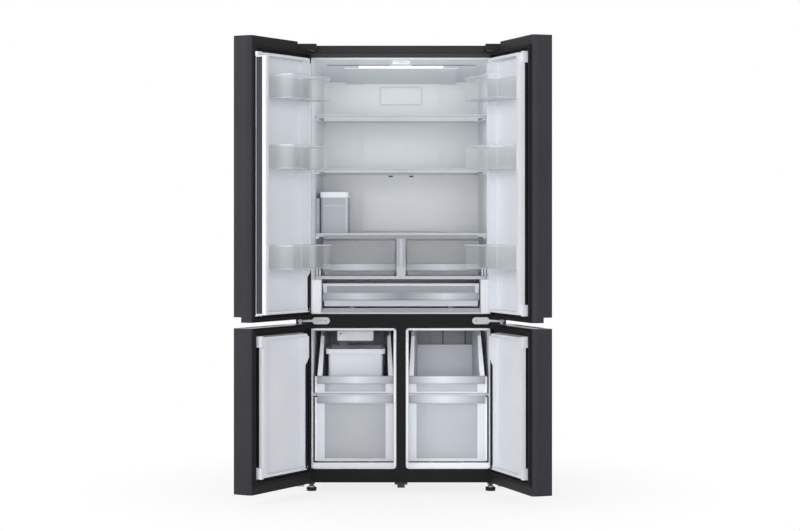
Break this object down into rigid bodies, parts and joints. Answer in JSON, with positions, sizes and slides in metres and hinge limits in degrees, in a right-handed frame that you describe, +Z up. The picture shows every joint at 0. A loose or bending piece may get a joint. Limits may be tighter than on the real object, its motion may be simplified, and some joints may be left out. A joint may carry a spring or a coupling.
{
  "type": "french door refrigerator",
  "caption": "French door refrigerator in dark steel: hinged doors with clear bins over lit glass shelves and crispers, with freezer doors below over sliding clear drawers.",
  "frame": {"origin": "middle of the sole of the centre foot, on the floor and on the cabinet's middle plane", "axes": "+Z up, +Y to the rear so that the doors face -Y, +X to the right as seen from the front"},
  "size_m": [1.2024, 1.0826, 1.778],
  "materials": {
    "case_paint": "satin",
    "frame_paint": "satin",
    "back_steel": "matte",
    "pan_steel": "matte",
    "door_paint": "satin",
    "white_liner": "satin",
    "white_plastic": "satin",
    "grey_plastic": "satin",
    "black_plastic": "satin",
    "clear_plastic": "gloss",
    "gasket_rubber": "matte",
    "shelf_glass": "gloss",
    "hinge_steel": "satin",
    "fin_aluminium": "satin",
    "compressor_paint": "satin",
    "board": "matte",
    "lens": "gloss"
  },
  "bodies": {
    "cabinet": {"outer_case": "case_paint", "back_panel": "back_steel", "insulation_panels": "board", "fridge_liner": "white_liner", "freezer_liners": "white_liner", "front_frame": "frame_paint", "chassis": "pan_steel", "machine_cover": "back_steel", "compressor": "compressor_paint", "drain_pan": "black_plastic", "condenser": "fin_aluminium", "evaporator": "fin_aluminium", "fan_motors": "black_plastic", "freezer_back_panels": "grey_plastic", "duct_panel": "white_plastic", "filter_cover": "white_plastic", "lamp_lens": "lens", "mullion_guide": "white_plastic", "shelf_glasses": "shelf_glass", "shelf_frames": "white_plastic", "crisper_deck": "white_plastic", "ice_maker": "white_plastic", "top_hinges": "hinge_steel", "middle_hinges": "hinge_steel", "bottom_hinges": "hinge_steel", "hinge_covers": "black_plastic"},
    "upper_left_door": {"upper_left_door": "door_paint", "upper_left_liner": "white_liner", "upper_left_gasket": "gasket_rubber", "left_bin_low": "clear_plastic", "left_bin_middle": "clear_plastic", "left_bin_high": "clear_plastic"},
    "lower_left_door": {"lower_left_door": "door_paint", "lower_left_liner": "white_liner", "lower_left_gasket": "gasket_rubber"},
    "crisper_left": {"crisper_left": "clear_plastic"},
    "freezer_drawer_upper_left": {"freezer_drawer_upper_left": "clear_plastic", "ice_bin": "white_plastic"},
    "freezer_drawer_lower_left": {"freezer_drawer_lower_left": "clear_plastic"},
    "foot_left": {"foot_left": "black_plastic"},
    "upper_right_door": {"upper_right_door": "door_paint", "upper_right_liner": "white_liner", "upper_right_gasket": "gasket_rubber", "right_bin_low": "clear_plastic", "right_bin_middle": "clear_plastic", "right_bin_high": "clear_plastic"},
    "lower_right_door": {"lower_right_door": "door_paint", "lower_right_liner": "white_liner", "lower_right_gasket": "gasket_rubber"},
    "crisper_right": {"crisper_right": "clear_plastic"},
    "freezer_drawer_upper_right": {"freezer_drawer_upper_right": "clear_plastic"},
    "freezer_drawer_lower_right": {"freezer_drawer_lower_right": "clear_plastic"},
    "foot_right": {"foot_right": "black_plastic"},
    "pantry_drawer": {"pantry_drawer": "clear_plastic"},
    "water_tank": {"water_tank": "clear_plastic", "water_tank_lid": "white_plastic"},
    "mullion": {"mullion": "white_plastic"},
    "condenser_fan": {"condenser_fan": "grey_plastic"},
    "evaporator_fan": {"evaporator_fan": "grey_plastic"},
    "rollers": {"rollers": "black_plastic"}
  },
  "joints": [
    {"name": "upper_left_door_hinge", "type": "hinge", "parent": "cabinet", "child": "upper_left_door", "pos_m": [-0.3975, -0.189, 1.2203], "axis": [0, 0, -1], "range_deg": [-120.4, 9.6]},
    {"name": "lower_left_door_hinge", "type": "hinge", "parent": "cabinet", "child": "lower_left_door", "pos_m": [-0.3975, -0.189, 0.35635], "axis": [0, 0, -1], "range_deg": [-120.4, 9.6]},
    {"name": "upper_right_door_hinge", "type": "hinge", "parent": "cabinet", "child": "upper_right_door", "pos_m": [0.3975, -0.189, 1.2203], "axis": [0, 0, 1], "range_deg": [-109.4, 20.6]},
    {"name": "lower_right_door_hinge", "type": "hinge", "parent": "cabinet", "child": "lower_right_door", "pos_m": [0.3975, -0.189, 0.35635], "axis": [0, 0, 1], "range_deg": [-109.4, 20.6]},
    {"name": "mullion_fold", "type": "hinge", "parent": "upper_left_door", "child": "mullion", "pos_m": [-0.54194, -0.54309, 1.211], "axis": [0, 0, 1], "range_deg": [-90, 0]},
    {"name": "crisper_left_slide", "type": "slide", "parent": "cabinet", "child": "crisper_left", "axis": [0, -1, 0], "range_m": [0, 0.25]},
    {"name": "freezer_drawer_upper_left_slide", "type": "slide", "parent": "cabinet", "child": "freezer_drawer_upper_left", "axis": [0, -1, 0], "range_m": [0, 0.26]},
    {"name": "freezer_drawer_lower_left_slide", "type": "slide", "parent": "cabinet", "child": "freezer_drawer_lower_left", "axis": [0, -1, 0], "range_m": [0, 0.24]},
    {"name": "crisper_right_slide", "type": "slide", "parent": "cabinet", "child": "crisper_right", "axis": [0, -1, 0], "range_m": [0, 0.25]},
    {"name": "freezer_drawer_upper_right_slide", "type": "slide", "parent": "cabinet", "child": "freezer_drawer_upper_right", "axis": [0, -1, 0], "range_m": [0, 0.26]},
    {"name": "freezer_drawer_lower_right_slide", "type": "slide", "parent": "cabinet", "child": "freezer_drawer_lower_right", "axis": [0, -1, 0], "range_m": [0, 0.24]},
    {"name": "pantry_slide", "type": "slide", "parent": "cabinet", "child": "pantry_drawer", "axis": [0, -1, 0], "range_m": [0, 0.3]},
    {"name": "water_tank_slide", "type": "slide", "parent": "cabinet", "child": "water_tank", "axis": [0, -1, 0], "range_m": [0, 0.22]},
    {"name": "condenser_fan_spin", "type": "hinge", "parent": "cabinet", "child": "condenser_fan", "pos_m": [-0.01, 0.385, 0.138], "axis": [-1, 0, 0], "continuous": true},
    {"name": "evaporator_fan_spin", "type": "hinge", "parent": "cabinet", "child": "evaporator_fan", "pos_m": [0.18775, 0.318, 0.5755], "axis": [0, -1, 0], "continuous": true},
    {"name": "foot_left_turn", "type": "hinge", "parent": "cabinet", "child": "foot_left", "pos_m": [-0.3575, -0.095, 0.01], "axis": [0, 0, 1], "continuous": true},
    {"name": "foot_right_turn", "type": "hinge", "parent": "cabinet", "child": "foot_right", "pos_m": [0.3575, -0.095, 0.01], "axis": [0, 0, 1], "continuous": true},
    {"name": "roller_spin", "type": "hinge", "parent": "cabinet", "child": "rollers", "pos_m": [0, 0.445, 0.017], "axis": [1, 0, 0], "continuous": true}
  ]
}
